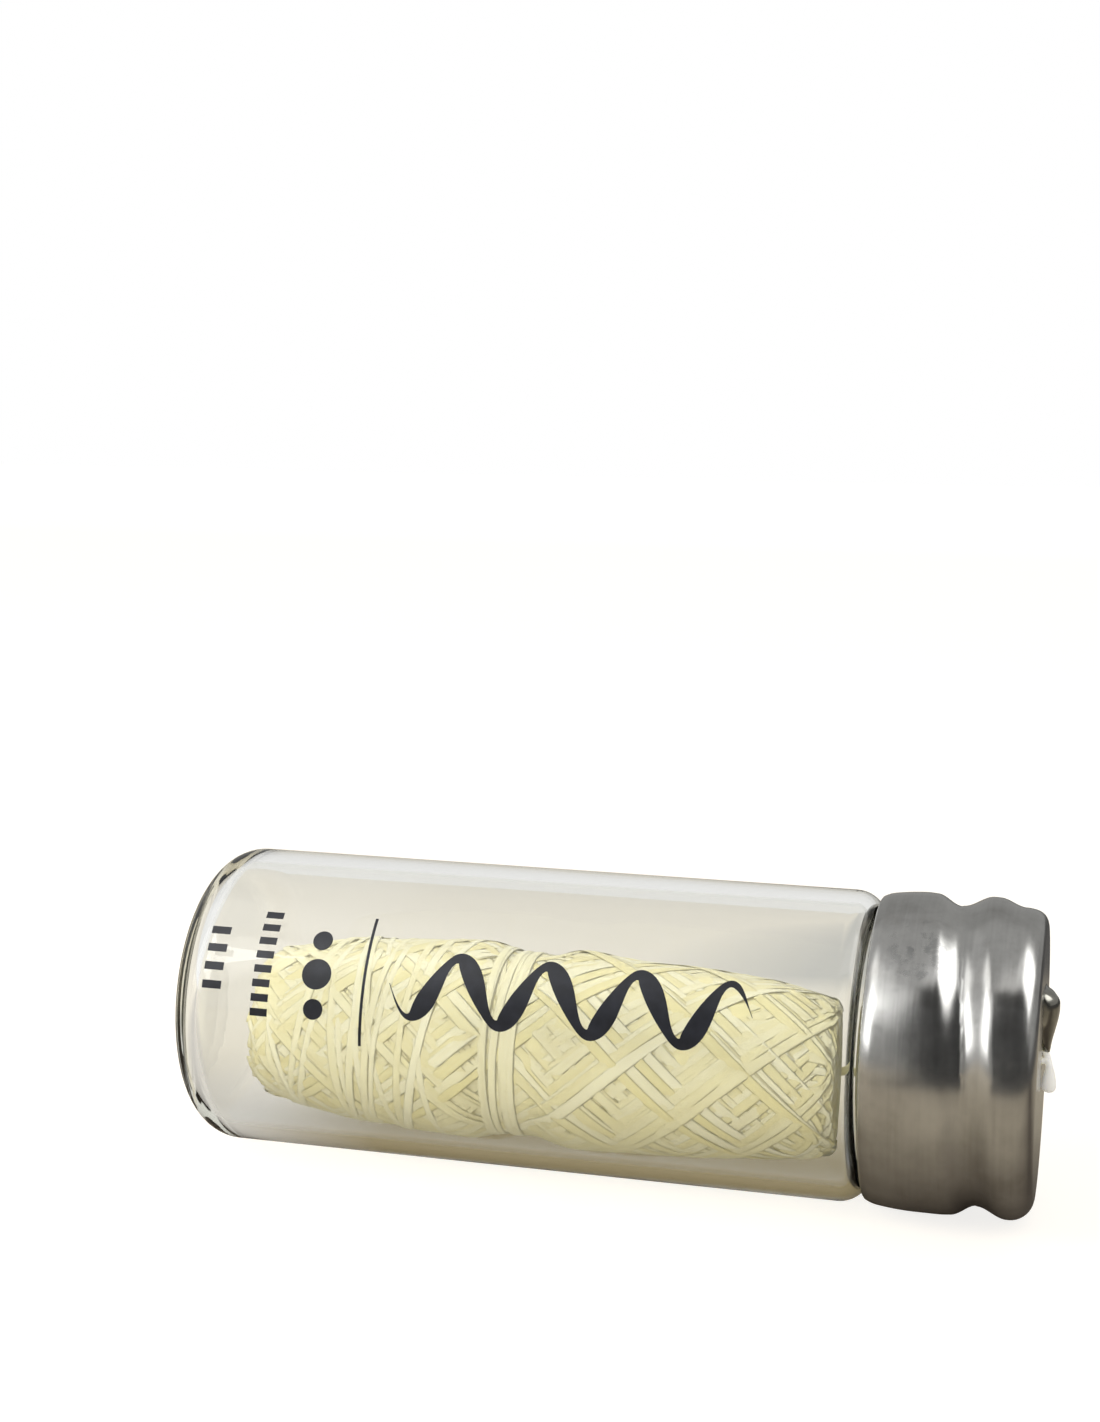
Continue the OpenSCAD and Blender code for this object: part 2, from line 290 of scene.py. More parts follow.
def vial_outline():
    """Rows of [z, r] over the outside of the glass, round the lip and back inside."""
    bore_r, inner_corner_z = NECK_R - WALL, BASE_T + BASE_CORNER - WALL
    neck_start, neck_stop = NECK_Z + 0.3, LIP_Z - LIP_ROUND - 0.05
    bore_start, bore_stop = LIP_Z - 1, NECK_Z + 0.5
    return np.vstack([
        [[0, r] for r in BASE_RINGS + [BASE_RING_LAST]],
        arc(BASE_CORNER, VIAL_R - BASE_CORNER, BASE_CORNER, -90, 0, 14),
        [[z, VIAL_R] for z in np.linspace(BASE_CORNER, BODY_L, 12)[1:-1]],
        shoulder(SHOULDER_R, NECK_BEND),
        [[z, NECK_R] for z in np.arange(neck_start, neck_stop, NECK_STEP)],
        arc(LIP_Z - LIP_ROUND, NECK_R - LIP_ROUND, LIP_ROUND, 0, 90, 6),
        arc(LIP_Z - LIP_INNER_ROUND, bore_r + LIP_INNER_ROUND, LIP_INNER_ROUND, 90, 180, 4),
        [[z, bore_r] for z in np.linspace(bore_start, bore_stop, 6)],
        shoulder(SHOULDER_R - WALL, NECK_BEND + WALL)[::-1],
        [[z, VIAL_R - WALL] for z in np.linspace(BODY_L, inner_corner_z, 12)[1:-1]],
        arc(inner_corner_z, VIAL_R - BASE_CORNER, BASE_CORNER - WALL, 0, -90, 14),
        [[BASE_T, r] for r in BASE_RINGS[::-1]]])


def thread(z, r, angle):
    """How far the moulded thread stands out of the neck."""
    high = np.zeros(np.broadcast(z, angle).shape)
    for k in (-1, 0):
        a = angle + 360 * k
        inside = (a >= THREAD_START) & (a <= THREAD_END)
        rise = smooth(4 * (a - THREAD_START) / (360 * THREAD_TURNS))
        rise = rise * smooth(4 * (THREAD_END - a) / (360 * THREAD_TURNS))
        off = np.abs(z - (RIM_Z + GROOVE_RISE + PITCH * a / 360 + THREAD_ABOVE))
        shape = smooth((THREAD_W / 2 - off) / ((THREAD_W - THREAD_CREST) / 2))
        high = np.maximum(high, np.where(inside, rise * shape * THREAD_H, 0))
    return np.where(r > NECK_R - 0.01, np.where(z > NECK_Z, high, 0), 0)


zs, rs = vial_outline().T
vial = lathe("glass_body", zs, rs, 256, thread)
vial.data.materials.append(glass_material())
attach(vial, "vial")
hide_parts("glass_vial")


# Cap

# The groove's flank towards the face is longer by the lean. It fades in over the rim and runs out
# into the corner, at these angles in degrees.
GROOVE_LEAN, FADE_IN, FADE_IN_W, FADE_OUT, FADE_OUT_W = 1.2, 60, 50, 480, 120
# The lands beside the groove are crowned as far as these reaches from its middle
CROWN, REACH_TO_FACE, REACH_TO_RIM = 0.05, 3.2, 3.7
# The side tapers a little before the corner, and rolls in towards the rim
TAPER, TAPER_START, TAPER_H = 0.2, 10.6, 5.2
RIM_DROP, RIM_ROLL, RIM_ROLL_H, RIM_CURL_H = 0.75, 0.5, 5, 1.2
# The rounded edge of the sheet at the rim: height, and share of the sheet inwards
RIM_EDGE = [[0.12, 1], [0.03, 0.86], [0, 0.5], [0.03, 0.14], [0.12, 0]]
FACE_RINGS = [0, 3, 6, 9, 11.5]
OUTLET_R = 0.9
SLOT_CLEAR, SLOT_EXTRA, PLUG_OVERRUN = 0.25, 0.9, 0.4
CUTTER_PLAN_SHARES = [[0, 1], [0.5, 1], [0.85, 0.55], [1, 0.2]]
STAIN_H, STAIN_ANGLE = 4.6, 218


def cap_material():
    """Silvery sheet metal, clouded and ringed, with a dull stain on its side."""
    mat, tree, bsdf = shader_tree("cap_metal")
    bsdf.inputs["Metallic"].default_value = 1.0
    clouds = noise(tree, 230, 4.0, rough=0.6)
    rings = noise(tree, 900, 3.0, (3.0, 0.12, 0.12))
    tone = maths(tree, "ADD", maths(tree, "MULTIPLY", clouds, 0.75),
                 maths(tree, "MULTIPLY", rings, 0.25))
    color = ramp(tree, tone, [(0.3, (0.45, 0.44, 0.425)), (0.5, (0.56, 0.555, 0.545)),
                              (0.7, (0.65, 0.645, 0.63))])
    centre = tuple(place(RIM_Z + STAIN_H, CAP_R, STAIN_ANGLE))
    off = vector(tree, "SUBTRACT", object_place(tree), centre)
    away = vector(tree, "LENGTH", vector(tree, "MULTIPLY", off, (1.5, 1, 1)))
    near = spread(tree, away, 1.0, 0.0, 0.0005, 0.0058)
    patch = spread(tree, noise(tree, 620, 4.0, rough=0.62), 0.0, 1.0, 0.5, 0.6)
    stain = maths(tree, "MULTIPLY", maths(tree, "MULTIPLY", near, patch), 0.6)
    color = mix(tree, stain, color, (0.16, 0.165, 0.17))
    tree.links.new(color, bsdf.inputs["Base Color"])
    rough = spread(tree, clouds, 0.17, 0.27, 0.25, 0.75)
    rough = maths(tree, "ADD", rough, maths(tree, "MULTIPLY", stain, 0.2))
    tree.links.new(rough, bsdf.inputs["Roughness"])
    bump(tree, bsdf, rings, 0.04, 0.0001)
    return mat


def groove(h, angle):
    """How far the cap's side is drawn in, at a height over the rim and an angle round the cap."""
    depth = 0
    for k in (0, 1):
        a = angle + 360 * k
        off = 2 * (h - GROOVE_RISE - PITCH * a / 360) / GROOVE_W
        off = np.where(off > 0, off / GROOVE_LEAN, off)
        strength = smooth((a - FADE_IN) / FADE_IN_W) * (1 - smooth((a - FADE_OUT) / FADE_OUT_W))
        floor = np.where(np.abs(off) < 1, GROOVE_DEPTH * (1 + np.cos(np.pi * off)) / 2, 0)
        reach = np.where(off > 0, REACH_TO_FACE, REACH_TO_RIM)
        land = np.maximum(reach - np.maximum(np.abs(off), 1) * GROOVE_W / 2, 0)
        depth = depth + strength * (floor + CROWN * land ** 2)
    return depth + TAPER * smooth((h - TAPER_START) / TAPER_H)


def cap_rows(depth, n):
    """The cap's side and corner at a depth under its outer skin, as rows of [height, radius]."""
    h = np.linspace(0, CAP_H - CAP_CORNER, n + 1)
    r = (CAP_R - depth - RIM_ROLL * (1 - np.minimum(1, h / RIM_ROLL_H)) ** 2
         - (RIM_DROP - RIM_ROLL) * (1 - np.minimum(1, h / RIM_CURL_H)) ** 2)
    corner = arc(CAP_H - CAP_CORNER, CAP_R - CAP_CORNER, CAP_CORNER - depth, 0, 90)[1:]
    return np.vstack([np.stack([h, r], 1), corner])


def plan(length, extra):
    """Half the outline of the cutter or of its slot: [down from the root, half width]."""
    t = np.linspace(0, 1, 9)
    share = np.interp(t, *np.array(CUTTER_PLAN_SHARES).T)
    return np.stack([t * length, share * CUTTER_W / 2 + extra], 1)


def cut_out(piece, outline):
    """Cuts an outline of [down, side] out of the cap's face."""
    n = len(outline)
    verts = [np.stack([BASE_X + np.full(n, z) * MM, outline[:, 1] * MM,
                       AXIS_Z - outline[:, 0] * MM], 1)
             for z in (FACE_Z - SHEET - PLUG_OVERRUN, FACE_Z + PLUG_OVERRUN)]
    faces = ring_faces(2, n, cap_ends=True)
    plug = outward(new_mesh("plug", np.vstack(verts), faces, soft=False))
    cut = piece.modifiers.new("cut", "BOOLEAN")
    cut.operation, cut.object, cut.solver = "DIFFERENCE", plug, "EXACT"
    depsgraph = bpy.context.evaluated_depsgraph_get()
    mesh = bpy.data.meshes.new_from_object(piece.evaluated_get(depsgraph))
    piece.modifiers.clear()
    piece.data = mesh
    bpy.data.objects.remove(plug)


def cap_body():
    """The pressed cap in one sheet, with the cutter's slot and the floss outlet in its face."""
    outer, inner = cap_rows(0, 90), cap_rows(SHEET, 50)
    rim_r = CAP_R - RIM_DROP
    rows = np.vstack([[[CAP_H - SHEET, r] for r in FACE_RINGS], inner[:0:-1],
                      [[h, rim_r - share * SHEET] for h, share in RIM_EDGE],
                      outer[1:], [[CAP_H, r] for r in FACE_RINGS[::-1]]])
    cap = lathe("cap_body", rows[:, 0] + RIM_Z, rows[:, 1], 384,
                lambda z, r, angle: -groove(z - RIM_Z, angle) * (r > FACE_RINGS[-1]))
    half = plan(CUTTER_L + SLOT_EXTRA, SLOT_CLEAR)
    cut_out(cap, np.vstack([half, half[::-1] * [1, -1]]) - [CUTTER_ROOT, 0])
    circle = np.radians(np.arange(48) * 360 / 48)
    cut_out(cap, np.stack([np.cos(circle), np.sin(circle)], 1) * OUTLET_R)
    return cap


cap = cap_body()
cap.data.materials.clear()
cap.data.materials.append(cap_material())
cap.data.polygons.foreach_set("use_smooth", [True] * len(cap.data.polygons))
cap.data.set_sharp_from_angle(angle=math.radians(40))
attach(cap, "cap")
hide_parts("cap_shell")


# Cutter: the tongue bent out of the face

CUTTER_BEND_SHARES = [[0, 0], [0.05, 0.41], [0.1, 0.76], [0.205, 1], [0.4, 0.965],
                      [0.61, 0.79], [0.81, 0.6], [1, 0.48]]
# The section of the tongue, in shares of its half width and of half the sheet
SECTION_SHARES = [[-1, -0.6], [-0.97, -1], [-0.5, -1], [0, -1], [0.5, -1], [0.97, -1], [1, -0.6],
                  [1, 0.6], [0.97, 1], [0.5, 1], [0, 1], [-0.5, 1], [-0.97, 1], [-1, 0.6]]
# Its edges are rolled back by as much as it stands out and a little more, up to the roll, and by
# less where it is narrow
CUTTER_ROLL, ROLL_EXTRA, ROLL_POWER, ROLL_FULL_W = 1.05, 0.2, 2.2, 1.6


def cutter_material():
    mat, tree, bsdf = shader_tree("cutter_metal")
    bsdf.inputs["Metallic"].default_value = 1.0
    scratches = noise(tree, 1500, 3.0, (0.2, 1, 0.3))
    color = ramp(tree, noise(tree, 500, 2.0), [(0.3, (0.27, 0.265, 0.235)),
                                               (0.7, (0.4, 0.39, 0.35))])
    tree.links.new(color, bsdf.inputs["Base Color"])
    tree.links.new(spread(tree, scratches, 0.14, 0.26, 0.3, 0.7), bsdf.inputs["Roughness"])
    bump(tree, bsdf, scratches, 0.08, 0.0001)
    return mat


def cutter_tongue():
    """The tongue, from its root down to its tip."""
    bend = np.array(CUTTER_BEND_SHARES) * [CUTTER_L, CUTTER_PROUD] - [0, SHEET / 2]
    bend = spline(bend, 36)
    ways = np.gradient(bend, axis=0)
    ways[0] = [1, 0]
    ways /= np.linalg.norm(ways, axis=1)[:, None]
    width = np.interp(bend[:, 0] / CUTTER_L, *np.array(CUTTER_PLAN_SHARES).T) * CUTTER_W / 2
    verts = []
    for (down, out), (way_down, way_out), w in zip(bend, ways, width):
        for side, off in SECTION_SHARES:
            d = down - way_out * SHEET / 2 * off
            o = out + way_down * SHEET / 2 * off
            roll = min(CUTTER_ROLL, max(0, out + ROLL_EXTRA)) * abs(side) ** ROLL_POWER
            o -= roll * min(1, w / ROLL_FULL_W)
            verts.append([BASE_X + (FACE_Z + min(o, CUTTER_PROUD)) * MM, side * w * MM,
                          AXIS_Z + (CUTTER_ROOT - d) * MM])
    faces = ring_faces(len(bend), len(SECTION_SHARES), cap_ends=True)
    return outward(new_mesh("cutter_tongue", verts, faces))


cutter = cutter_tongue()
cutter.data.set_sharp_from_angle(angle=math.radians(50))
cutter.data.materials.append(cutter_material())
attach(cutter, "cap")
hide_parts("floss_cutter")


# Liner, which keeps the shape that it has in the frame

def liner_material():
    mat, tree, bsdf = shader_tree("liner_foam")
    cells = node(tree, "TexVoronoi", {"Scale": 2600.0}).outputs["Distance"]
    color = ramp(tree, noise(tree, 300, 2.0), [(0.3, (0.78, 0.77, 0.73)),
                                               (0.7, (0.86, 0.855, 0.82))])
    tree.links.new(color, bsdf.inputs["Base Color"])
    bsdf.inputs["Roughness"].default_value = 0.62
    bump(tree, bsdf, cells, 0.25, 0.0001)
    return mat


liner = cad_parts["cap_liner"].data
liner.materials.clear()
liner.materials.append(liner_material())


# Floss

PALE, DEEP = (0.93, 0.87, 0.58), (0.85, 0.755, 0.37)
TAIL_PALE, TAIL_DEEP = (0.97, 0.96, 0.91), (0.94, 0.92, 0.85)


def floss_material(name, pale, deep, even=0.0):
    """Waxed floss, each lay of it in its own tone, with a little light that scatters inside it and
    a faint glow in its own colour, which is painted light that lifts the shade in its crevices.
    It is see-through enough for its shading to follow the whole cocoon: even says by how much."""
    mat, tree, bsdf = shader_tree(name)
    tone = node(tree, "Attribute", attribute_name="tone").outputs["Fac"]
    along = node(tree, "Attribute", attribute_name="lay").outputs["Vector"]
    along = node(tree, "Mapping", {"Vector": along, "Scale": (0.2, 3.0, 1.0)}).outputs[0]
    fibres = node(tree, "TexNoise", {"Vector": along, "Scale": 1.0,
                                     "Detail": 0.5}).outputs["Fac"]
    mottle = maths(tree, "ADD", maths(tree, "MULTIPLY", tone, 0.75),
                   maths(tree, "MULTIPLY", fibres, 0.25))
    color = ramp(tree, mottle, [(0.15, deep), (0.85, pale)])
    tree.links.new(color, bsdf.inputs["Base Color"])
    # A faint glow in the floss's own colour: painted light that lifts the shade between its lays.
    tree.links.new(color, bsdf.inputs["Emission Color"])
    bsdf.inputs["Emission Strength"].default_value = 0.13
    bsdf.inputs["Roughness"].default_value = 0.42
    bsdf.inputs["Subsurface Weight"].default_value = 0.12
    bsdf.inputs["Subsurface Radius"].default_value = (1.0, 0.85, 0.4)
    bsdf.inputs["Subsurface Scale"].default_value = 0.0008
    bsdf.inputs["Sheen Weight"].default_value = 0.08
    spot = node(tree, "NewGeometry")
    off = vector(tree, "SUBTRACT", spot.outputs["Position"], (0, 0, AXIS_Z - COCOON_DROP * MM))
    off = vector(tree, "NORMALIZE", vector(tree, "MULTIPLY", off, (0, 1, 1)))
    soft = node(tree, "Mix", {0: even, 4: spot.outputs["Normal"], 5: off}, data_type="VECTOR")
    soft = vector(tree, "NORMALIZE", soft.outputs[1])
    bump(tree, bsdf, fibres, 0.1, 0.0001, soft)
    return mat


floss = floss_material("floss", PALE, DEEP)
wound = floss_material("floss_wound", PALE, DEEP, even=0.85)


def set_tone(obj, tone, run=None):
    """Gives a piece of floss its tone and its place along and across the lay."""
    data = obj.data
    if run is None:
        run = np.array([v.co for v in data.vertices]) / MM
    tone = np.broadcast_to(tone, len(data.vertices)).astype(float)
    data.attributes.new("tone", "FLOAT", "POINT").data.foreach_set("value", tone)
    data.attributes.new("lay", "FLOAT_VECTOR", "POINT").data.foreach_set("vector", run.ravel())


# Form of the cocoon: its outline in shares of its length and radius, its waist, and a top that
# sinks towards the cap, from a share of the length on and over another

OUTLINE_SHARES = [[0, 0.6], [0.012, 0.7], [0.03, 0.76], [0.06, 0.8], [0.12, 0.875], [0.17, 0.92],
                  [0.27, 0.955], [0.4, 0.99], [0.58, 1], [0.68, 0.985], [0.78, 0.96],
                  [0.88, 0.91], [0.94, 0.865], [0.975, 0.82], [0.99, 0.77], [1, 0.66]]
ALONG_SHARES, RADIUS_SHARES = np.array(OUTLINE_SHARES).T
WAIST_SHARE, WAIST_DIP, WAIST_HALF_W, WAIST_SLOPE_W = 0.473, 0.8, 1.5, 4
SINK, SINK_START_SHARE, SINK_OVER_SHARE = 0.95, 0.42, 0.28
END_SINK, END_START_SHARE, END_OVER_SHARE = 0.6, 0.86, 0.12


def cocoon_r(share):
    """The cocoon's radius at a share of its length."""
    off = np.abs(share - WAIST_SHARE) * COCOON_L
    waist = WAIST_DIP * smooth(1 - (off - WAIST_HALF_W) / WAIST_SLOPE_W)
    return COCOON_R * np.interp(share, ALONG_SHARES, RADIUS_SHARES) - waist


def sunk(share, angle):
    """How far the cocoon's top sinks towards the cap."""
    top = (1 - np.cos(np.radians(angle))) / 2
    return top ** 1.5 * (SINK * smooth((share - SINK_START_SHARE) / SINK_OVER_SHARE)
                         + END_SINK * smooth((share - END_START_SHARE) / END_OVER_SHARE))


# Winding of the cocoon, which heaps up in cells: rows along it and columns round it

ROWS, COLUMNS = 300, 600
heap = np.zeros((ROWS, COLUMNS))
lays = []
# Twelve cross lays make eleven turns and a lap in degrees, so that the next twelve lie beside
# them. The first lays only heap up and aren't made, since the others cover them.
LAYS, COVERED_LAYS, LAP = 330, 110, 5.6
TURNS = (11 + LAP / 360) / 12
FIRST_SHARE, LAST_SHARE, STRAY_SHARE = 0.012, 0.992, 0.03
FIRST_ANGLE, DRIFT_ANGLE, ROUNDING = 140.0, 0.9, 0.975
LOOSE_LAYS, LOOSE_FROM_SHARE, LOOSE_TO_SHARE = 17, 0.05, 0.47
HOOP_SETS, HOOPS, HOOPS_START_SHARE, HOOPS_OVER_SHARE = 2, 5, 0.045, 0.05
# Width and thickness of the floss, each with how much more it may be by chance
CROSS_W, CROSS_W_MORE, CROSS_THICK, CROSS_THICK_MORE = 1.0, 0.35, 0.07, 0.04
LOOSE_W, LOOSE_W_MORE, LOOSE_THICK = 0.6, 0.35, 0.13
HOOP_W, HOOP_THICK, HOOP_TONE = 0.85, 0.16, 0.75


def varied(least, more):
    """The least value and by chance up to so much more."""
    return least + more * rng.random()


def cells_at(share, angle):
    """Cell rows and columns for places on the cocoon."""
    row = np.clip(share * (ROWS - 1), 0, ROWS - 1)
    return np.rint(row).astype(int), np.rint(angle / 360 * COLUMNS).astype(int) % COLUMNS


def lay(share, angle, width, thick, tone, made=True):
    """Lays one ribbon over what is there, straight over the hollows, and heaps it up."""
    r = cocoon_r(share)
    step = np.gradient(share) * COCOON_L
    around = np.radians(np.gradient(angle)) * r
    long = np.hypot(step, around) + 1e-9
    side_s, side_a = -around / long, step / long
    cells = []
    for off in np.linspace(-0.5, 0.5, 7):
        s = share + side_s * off * width / COCOON_L
        a = angle + np.degrees(side_a * off * width / r)
        cells.append(cells_at(s, a))
    under = np.max([heap[c] for c in cells], 0)
    top = np.maximum.reduce([np.roll(under, k) for k in (-2, -1, 0, 1, 2)])
    top[:3], top[-3:] = under[:3], under[-3:]
    kernel = np.exp(-np.linspace(-1.6, 1.6, 9) ** 2)
    top = np.convolve(np.pad(top, 4, "edge"), kernel / kernel.sum(), "valid")
    for c in cells[1:-1]:
        np.maximum.at(heap, c, top + thick)
    rows, cols = cells[3]
    for k in (1, -1):
        np.maximum.at(heap, (rows, (cols + k) % COLUMNS), top + thick)
    if made:
        lays.append((share, angle, top, width, thick, tone))


def cross_winding():
    """Lays that run from end to end of the cocoon, each with a rounded turn there."""
    t = np.linspace(0, 1, 150)
    wave = np.arcsin(ROUNDING * np.sin(np.pi * (t - 0.5))) / math.asin(ROUNDING)
    start = FIRST_ANGLE
    for number in range(LAYS):
        low = FIRST_SHARE + STRAY_SHARE * rng.random() ** 2
        high = LAST_SHARE - STRAY_SHARE * rng.random() ** 2
        share = low + (high - low) * (1 + wave) / 2
        if number % 2:
            share = share[::-1]
        drift = DRIFT_ANGLE * np.sin(np.pi * t) * rng.normal()
        angle = start + 360 * TURNS * t + drift
        start += 360 * TURNS
        band = 0.5 + 0.35 * math.sin(number * 0.27) + 0.3 * (rng.random() - 0.5)
        lay(share, angle, varied(CROSS_W, CROSS_W_MORE), varied(CROSS_THICK, CROSS_THICK_MORE),
            band, made=number >= COVERED_LAYS)


def loose_strands():
    """Loose steep strands over the cocoon's left half."""
    t = np.linspace(0, 1, 90)
    for _ in range(LOOSE_LAYS):
        middle = varied(0.1, 0.3)
        lean = rng.choice([-1, 1]) * varied(0.03, 0.11)
        around = varied(150, 240)
        start = varied(0, 360)
        share = np.clip(middle + lean * (t - 0.5) * around / 200, LOOSE_FROM_SHARE, LOOSE_TO_SHARE)
        lay(share, start + around * t, varied(LOOSE_W, LOOSE_W_MORE), LOOSE_THICK,
            varied(0.5, 0.5))


def hoops():
    """Hoops round the waist."""
    t = np.linspace(0, 1, 900)
    for number in range(HOOP_SETS):
        wander = (1 + np.sin(np.pi * (t * 1.5 + number * 0.3))) / 2
        share = WAIST_SHARE - HOOPS_START_SHARE + HOOPS_OVER_SHARE * wander
        share = share + 0.002 * np.sin(np.pi * t * 11)
        lay(share, 90 + 360 * HOOPS * t, HOOP_W, HOOP_THICK, HOOP_TONE)


def blur(grid, n, wrap):
    """Box blur by n cells each way along the cocoon, and by wrap cells each way round it."""
    for _ in range(2):
        padded = np.pad(grid, ((n, n), (0, 0)), "edge")
        total = np.cumsum(np.vstack([np.zeros((1, grid.shape[1])), padded]), 0)
        grid = (total[2 * n + 1:] - total[:-2 * n - 1]) / (2 * n + 1)
        padded = np.pad(grid, ((0, 0), (wrap, wrap)), "wrap")
        total = np.cumsum(np.hstack([np.zeros((grid.shape[0], 1)), padded]), 1)
        grid = (total[:, 2 * wrap + 1:] - total[:, :-2 * wrap - 1]) / (2 * wrap + 1)
    return grid


cross_winding()
loose_strands()
hoops()

# The heap is drawn in to the cocoon's outline, where only a share of its relief is kept
TOP_DEPTH, RELIEF_SHARE, PEAK_SHARE = 0.28, 0.26, 0.16
BLUR_ROWS, BLUR_COLUMNS = 16, 30
level = blur(heap, BLUR_ROWS, BLUR_COLUMNS)
peak = np.percentile(heap - level, 99)


def settle(share, angle, high):
    """Radius of a height on the heap, once it is drawn in."""
    relief = (high - level[cells_at(share, angle)]) * RELIEF_SHARE
    return cocoon_r(share) - sunk(share, angle) - TOP_DEPTH + relief - PEAK_SHARE * peak


# Section of a ribbon, in shares of its half width and of its rise, which is a share of the
# thickness that it heaps up by. The run shares place its corners across the floss's fibres.
RIBBON_SHARES = [[-1, 0.1], [-0.72, 0.8], [0, 1.15], [0.72, 0.8], [1, 0.1], [0, -0.8]]
RUN_SHARES = np.array([-1, -0.7, 0, 0.7, 1, 0])
RISE_SHARE, SWELL_SHARE = 0.6, 0.12


class Ribbons:
    """Flat lays of floss, gathered into one mesh."""

    def __init__(self):
        self.verts, self.faces, self.tones, self.runs = [], [], [], []
        self.count = 0

    def add(self, middle, up, width, thick, tone):
        """Adds a flat floss along a line of world points, its flat side facing up."""
        n, sides = len(middle), len(RIBBON_SHARES)
        way = np.gradient(middle, axis=0)
        step = np.linalg.norm(way, axis=1)[:, None] + 1e-12
        way /= step
        up = up - (up * way).sum(1)[:, None] * way
        up /= np.linalg.norm(up, axis=1)[:, None]
        side = np.cross(way, up)
        swell = 1 + SWELL_SHARE * np.sin(np.linspace(0, 9, n) + 40 * tone)
        w = (width * MM / 2 * swell)[:, None]
        h = thick * RISE_SHARE * MM
        points = [middle + side * w * across + up * h * rise for across, rise in RIBBON_SHARES]
        self.verts.append(np.stack(points, 1).reshape(-1, 3))
        self.faces.extend(ring_faces(n, sides, self.count, cap_ends=True))
        self.count += n * sides
        self.tones.append(np.full(n * sides, tone))
        far = np.repeat(np.cumsum(step[:, 0]) / MM, sides)
        across = np.tile(RUN_SHARES * width / 2, n)
        self.runs.append(np.stack([far, across, np.full(n * sides, tone * 370)], 1))

    def piece(self, name):
        obj = new_mesh(name, np.vstack(self.verts), self.faces)
        set_tone(obj, np.concatenate(self.tones), np.vstack(self.runs))
        return obj


# Lays that cross both ends, over a low dome: which end, how high its dome is, its way along x, and
# how far the lays reach in shares of the radius
ENDS = ((0, 0.12, -1, 0.84), (1, 0.75, 1, 0.86))
END_LAYS, END_POINTS, END_SPREAD_SHARE, SLOPE_STEP = 18, 60, 0.8, 0.05
END_W, END_W_MORE, END_THICK = 0.85, 0.25, 0.1
END_DEPTH, END_HEAP, END_DIVE, DIVE_POWER = 0.1, 0.004, 0.8, 4


def end_z(far, end, dome, sign):
    """Place along the cocoon of its end, at a distance from the cocoon's axis."""
    edge = COCOON_R * RADIUS_SHARES[-end]
    part = slice(-7, None) if end else slice(0, 6)
    shares, radii = ALONG_SHARES[part], RADIUS_SHARES[part] * COCOON_R
    if end:
        shares, radii = shares[::-1], radii[::-1]
    z = np.where(far < edge, 0, np.interp(far, radii, shares) * COCOON_L - end * COCOON_L)
    return COCOON_Z + end * COCOON_L + z + sign * dome * np.clip(1 - (far / edge) ** 2, 0, 1)


def cross_end(ribbons, end, dome, sign, reach):
    """Lays that cross one end of the cocoon and dive in past its edge."""
    edge = COCOON_R * RADIUS_SHARES[-end]
    run = np.linspace(-1, 1, END_POINTS)
    dive = END_DIVE * np.abs(run[:, None]) ** DIVE_POWER
    for number in range(END_LAYS):
        off = edge * END_SPREAD_SHARE * (2 * rng.random() - 1)
        lean = 2 * np.pi * rng.random()
        s = run * np.sqrt((COCOON_R * reach) ** 2 - off ** 2)
        down = off * np.cos(lean) - s * np.sin(lean)
        across = off * np.sin(lean) + s * np.cos(lean)
        far = np.hypot(down, across)
        z = end_z(far, end, dome, sign)
        before, after = [end_z(far + k * SLOPE_STEP, end, dome, sign) for k in (-1, 1)]
        slope = (after - before) / (2 * SLOPE_STEP)
        around = np.degrees(np.arctan2(across, down))
        middle = place(z, far, around, COCOON_DROP)
        up = np.stack([np.ones(END_POINTS), -slope * across / far, slope * down / far], 1) * sign
        up /= np.linalg.norm(up, axis=1)[:, None]
        middle = middle + up * (END_HEAP * number - END_DEPTH - dive) * MM
        middle[:, 2] -= sunk(float(end), around) * far / COCOON_R * MM
        ribbons.add(middle, up, varied(END_W, END_W_MORE), END_THICK, rng.random())


def cocoon_winding():
    """The lays that are made and those over both ends, in one mesh."""
    ribbons = Ribbons()
    for share, angle, top, width, thick, tone in lays:
        z = COCOON_Z + share * COCOON_L
        base = settle(share, angle, top)
        middle = place(z, base, angle, COCOON_DROP)
        ribbons.add(middle, place(z, base + 1, angle, COCOON_DROP) - middle, width, thick, tone)
    for end, dome, sign, reach in ENDS:
        cross_end(ribbons, end, dome, sign, reach)
    return ribbons.piece("cocoon_winding")


winding = cocoon_winding()
winding.data.materials.append(wound)
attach(winding, "cocoon")
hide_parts("floss_winding")


# Wound mass under the ribbons

MASS_DEPTH, MASS_TONE = 0.5, 0.3
# Rows over its ends: place along the axis from the cocoon's start or end, and radius
MASS_START = [[0.15, 0], [0.17, 2.2], [0.22, 4], [0.3, 5.2]]
MASS_END = [[-0.15, 5.4], [0.15, 4], [0.35, 2.2], [0.45, 0]]


def mass_ridge(z, r, angle):
    """The mass is a little uneven, and its top sinks as the winding's does."""
    waves = (0.1 * np.sin(np.radians(angle * 7) + z * 0.9)
             + 0.08 * np.sin(np.radians(angle * 11) - z * 1.3))
    return waves - sunk((z - COCOON_Z) / COCOON_L, angle) * r / COCOON_R


def cocoon_mass():
    share = np.linspace(0, 1, 90)[1:-1]
    side = np.stack([share * COCOON_L, cocoon_r(share) - MASS_DEPTH], 1)
    zs, rs = np.vstack([MASS_START, side, np.array(MASS_END) + [COCOON_L, 0]]).T
    return lathe("cocoon_mass", zs + COCOON_Z, rs, 128, mass_ridge, COCOON_DROP)


mass = cocoon_mass()
set_tone(mass, MASS_TONE)
mass.data.materials.append(wound)
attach(mass, "cocoon")
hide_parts("floss_core")
